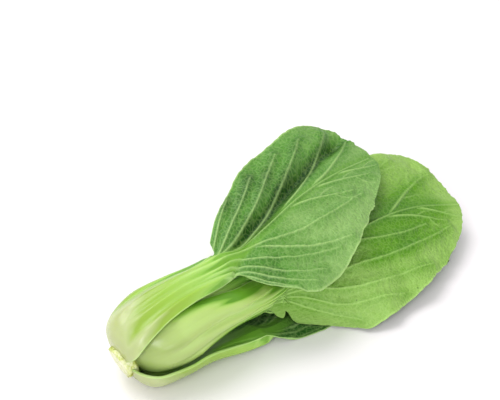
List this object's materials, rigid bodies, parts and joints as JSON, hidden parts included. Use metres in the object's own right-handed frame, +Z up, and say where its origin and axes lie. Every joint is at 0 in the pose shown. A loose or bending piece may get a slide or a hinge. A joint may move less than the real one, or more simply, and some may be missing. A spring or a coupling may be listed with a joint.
{
  "type": "head of bok choy",
  "caption": "Head of Shanghai bok choy lying on its side, pale spoon-shaped stalks clasping a cut root and spreading into broad green leaf blades.",
  "frame": {"origin": "middle of the underside: the centre of the bounding box on the table it lies on", "axes": "+X along the head from the cut root to the leaf tips, +Z up, -Y towards the front leaf"},
  "size_m": [0.2592, 0.1506, 0.0753],
  "materials": {
    "root": "matte, cut across and weathered",
    "outer_stalk": "glossy, finely ribbed lengthwise",
    "outer_blade": "matte with a pale bloom, raised veins",
    "middle_stalk": "glossy, finely ribbed lengthwise",
    "middle_blade": "satin, raised veins",
    "inner_stalk": "glossy, finely ribbed lengthwise",
    "inner_blade": "satin, raised veins",
    "heart_stalk": "glossy, tender",
    "heart_blade": "satin, tender"
  },
  "bodies": {
    "root": {"root_crown": "root", "outer_leaf_top_stalk": "outer_stalk", "outer_leaf_top_blade": "outer_blade", "outer_leaf_bottom_stalk": "outer_stalk", "outer_leaf_bottom_blade": "outer_blade", "outer_leaf_back_stalk": "outer_stalk", "outer_leaf_back_blade": "outer_blade", "middle_leaf_front_stalk": "middle_stalk", "middle_leaf_front_blade": "middle_blade", "middle_leaf_back_stalk": "middle_stalk", "middle_leaf_back_blade": "middle_blade", "middle_leaf_bottom_stalk": "middle_stalk", "middle_leaf_bottom_blade": "middle_blade", "inner_leaf_front_stalk": "inner_stalk", "inner_leaf_front_blade": "inner_blade", "inner_leaf_back_stalk": "inner_stalk", "inner_leaf_back_blade": "inner_blade", "inner_leaf_bottom_stalk": "inner_stalk", "inner_leaf_bottom_blade": "inner_blade", "heart_leaf_stalk": "heart_stalk", "heart_leaf_blade": "heart_blade"}
  },
  "joints": []
}
